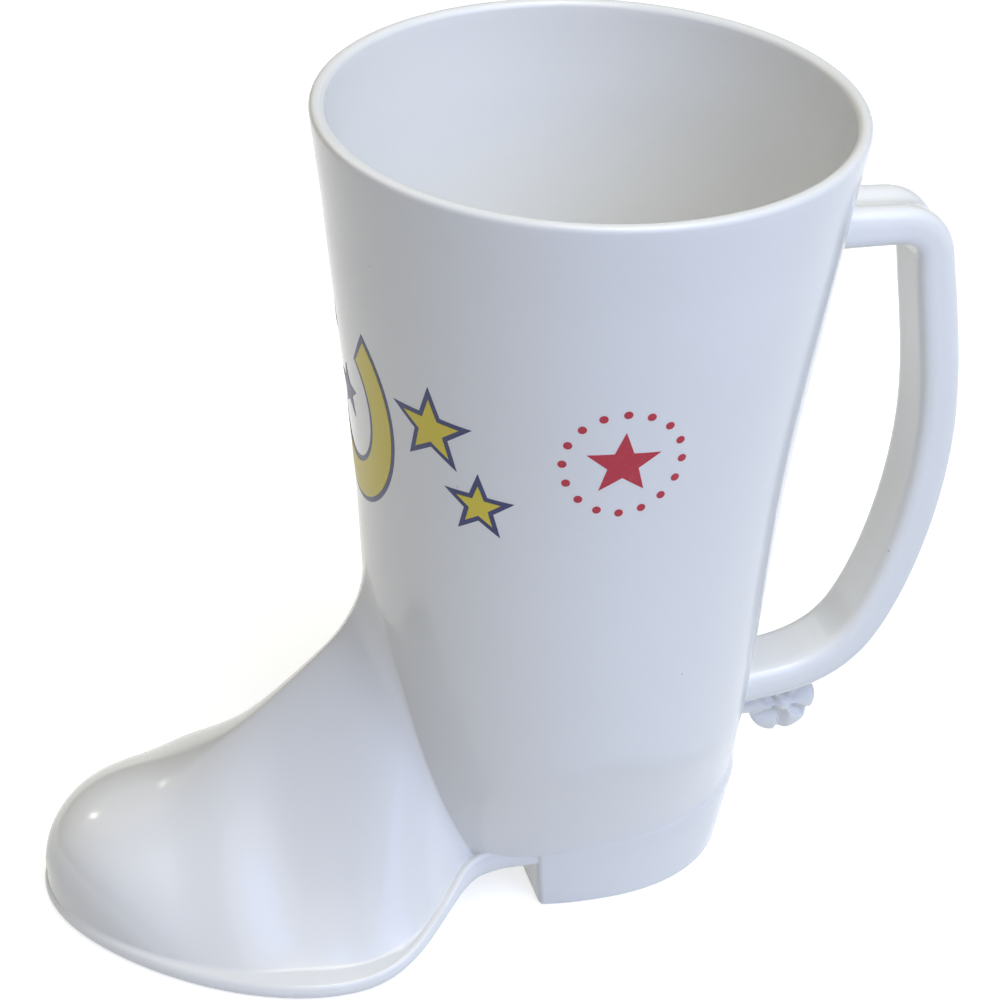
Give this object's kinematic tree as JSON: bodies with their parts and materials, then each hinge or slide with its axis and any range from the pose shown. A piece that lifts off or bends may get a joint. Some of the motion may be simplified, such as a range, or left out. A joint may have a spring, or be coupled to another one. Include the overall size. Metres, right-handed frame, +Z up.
{
  "type": "boot-shaped cup",
  "caption": "Drinking cup in the shape of a cowboy boot, with a flared round leg as the bowl, a toe and heel to stand on, a strap handle at the back and a small spur.",
  "frame": {"origin": "on the ground under the leg's axis, on the heel's flat underside", "axes": "+X from the leg to the handle at the back, the toe points to -X, +Y to the boot's side, +Z up along the leg"},
  "size_m": [0.176, 0.0952, 0.155],
  "materials": {
    "white_plastic": "gloss"
  },
  "bodies": {
    "root": {"leg_cup": "white_plastic", "vamp_shell": "white_plastic", "sole_plate": "white_plastic", "heel_block": "white_plastic", "handle_strap": "white_plastic", "spur_rowel": "white_plastic"}
  },
  "joints": []
}
